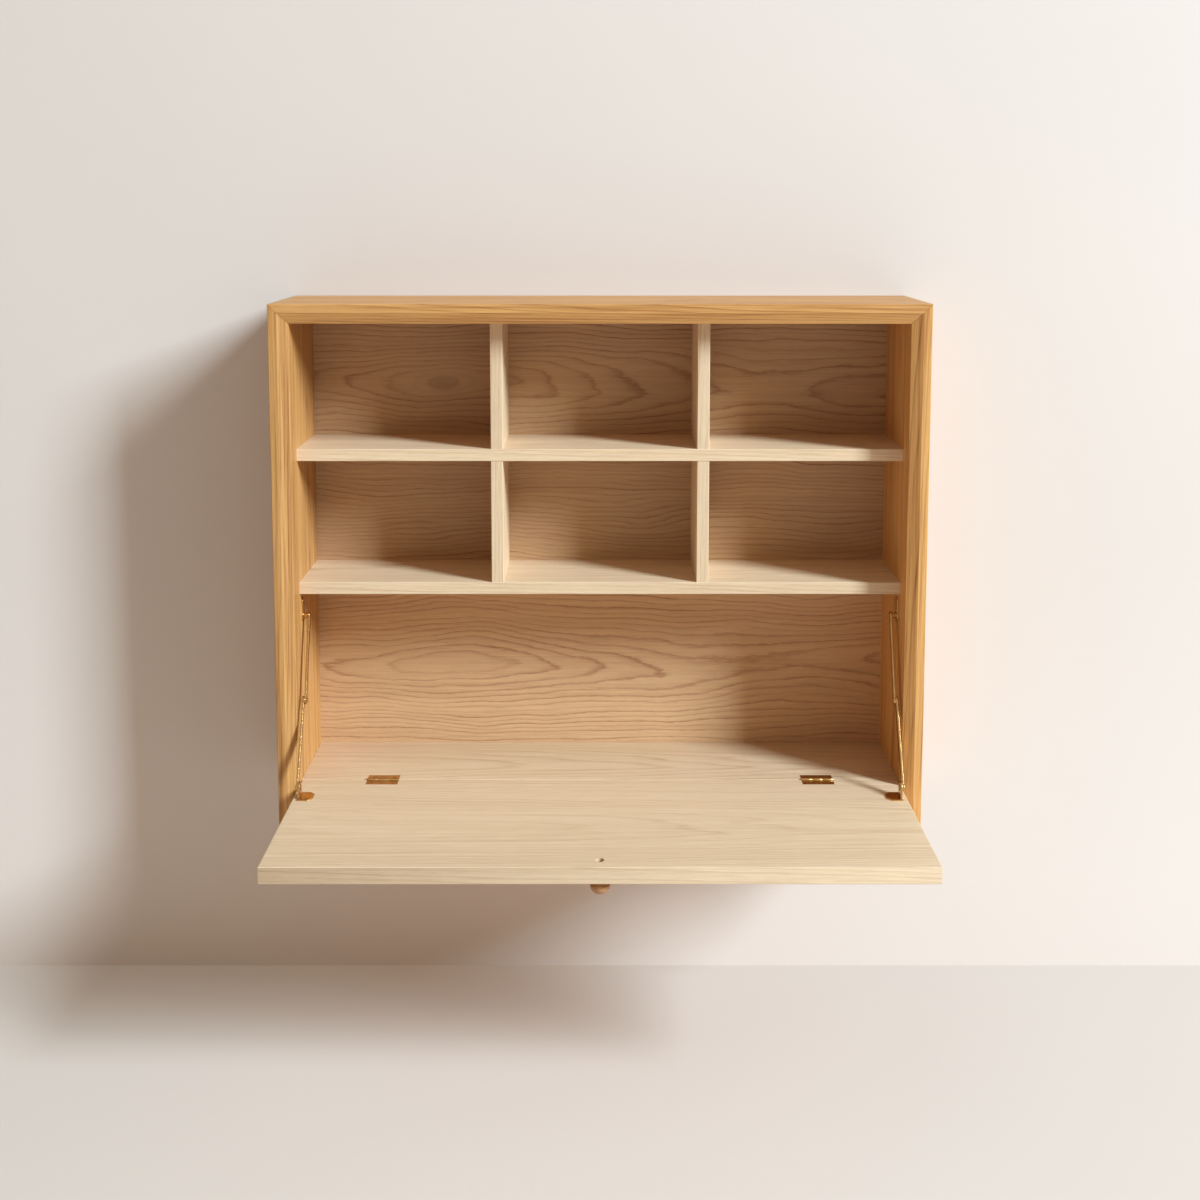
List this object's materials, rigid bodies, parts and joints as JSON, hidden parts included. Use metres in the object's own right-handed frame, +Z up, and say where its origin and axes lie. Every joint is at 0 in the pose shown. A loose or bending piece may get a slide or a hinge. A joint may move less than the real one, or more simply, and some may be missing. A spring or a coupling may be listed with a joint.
{
  "type": "fold down wall desk",
  "caption": "Wall-hung fold down desk: a bevelled wooden case with pigeonholes above a desk bay closed by a drop flap that hangs on brass hinges and folding stays.",
  "frame": {"origin": "on the wall plane, at the middle of the wall cleat's row of screw holes", "axes": "+X to the right of someone facing the desk, +Y into the wall, +Z up"},
  "size_m": [1, 0.484, 0.814],
  "materials": {
    "case_wood": "satin",
    "shelf_wood": "satin",
    "flap_wood": "satin",
    "panel_wood": "satin",
    "plain_wood": "matte",
    "knob_wood": "satin",
    "brass": "polished"
  },
  "bodies": {
    "case": {"case_top": "case_wood", "case_bottom": "case_wood", "case_left_side": "case_wood", "case_right_side": "case_wood", "mitre_splines": "plain_wood", "back_panel": "panel_wood", "hanging_cleat": "plain_wood", "wall_cleat": "plain_wood", "upper_shelf": "shelf_wood", "lower_shelf": "shelf_wood", "upper_left_divider": "shelf_wood", "upper_right_divider": "shelf_wood", "middle_left_divider": "shelf_wood", "middle_right_divider": "shelf_wood", "desk_floor": "shelf_wood", "left_hinge_floor_leaf": "brass", "right_hinge_floor_leaf": "brass", "left_hinge_pin": "brass", "right_hinge_pin": "brass", "hinge_floor_screws": "brass", "left_side_bracket": "brass", "right_side_bracket": "brass", "left_side_pivot_pin": "brass", "right_side_pivot_pin": "brass", "side_bracket_screws": "brass"},
    "flap": {"flap_board": "flap_wood", "knob": "knob_wood", "knob_screw": "brass", "left_hinge_flap_leaf": "brass", "right_hinge_flap_leaf": "brass", "hinge_flap_screws": "brass", "left_flap_bracket": "brass", "right_flap_bracket": "brass", "left_flap_pivot_rivet": "brass", "right_flap_pivot_rivet": "brass", "flap_bracket_screws": "brass"},
    "left_upper_stay": {"left_upper_link": "brass", "left_elbow_rivet_tail": "brass"},
    "left_lower_stay": {"left_lower_link": "brass", "left_elbow_rivet": "brass"},
    "right_upper_stay": {"right_upper_link": "brass", "right_elbow_rivet_tail": "brass"},
    "right_lower_stay": {"right_lower_link": "brass", "right_elbow_rivet": "brass"}
  },
  "joints": [
    {"name": "flap_hinge", "type": "hinge", "parent": "case", "child": "flap", "pos_m": [0, -0.179, -0.642], "axis": [-1, 0, 0], "range_deg": [0, 90]},
    {"name": "left_side_pivot", "type": "hinge", "parent": "case", "child": "left_upper_stay", "pos_m": [-0.4595, -0.145, -0.386], "axis": [1, 0, 0], "range_deg": [0, 57]},
    {"name": "left_flap_pivot", "type": "hinge", "parent": "flap", "child": "left_lower_stay", "pos_m": [-0.4628, -0.247, -0.626], "axis": [1, 0, 0], "range_deg": [0, 68.2]},
    {"name": "right_side_pivot", "type": "hinge", "parent": "case", "child": "right_upper_stay", "pos_m": [0.4595, -0.145, -0.386], "axis": [1, 0, 0], "range_deg": [0, 57]},
    {"name": "right_flap_pivot", "type": "hinge", "parent": "flap", "child": "right_lower_stay", "pos_m": [0.4628, -0.247, -0.626], "axis": [1, 0, 0], "range_deg": [0, 68.2]}
  ],
  "couplings": [
    {"joint": "left_side_pivot", "follows": "flap_hinge", "ratio": 0.63269},
    {"joint": "left_flap_pivot", "follows": "flap_hinge", "ratio": 0.75745},
    {"joint": "right_side_pivot", "follows": "flap_hinge", "ratio": 0.63269},
    {"joint": "right_flap_pivot", "follows": "flap_hinge", "ratio": 0.75745}
  ]
}
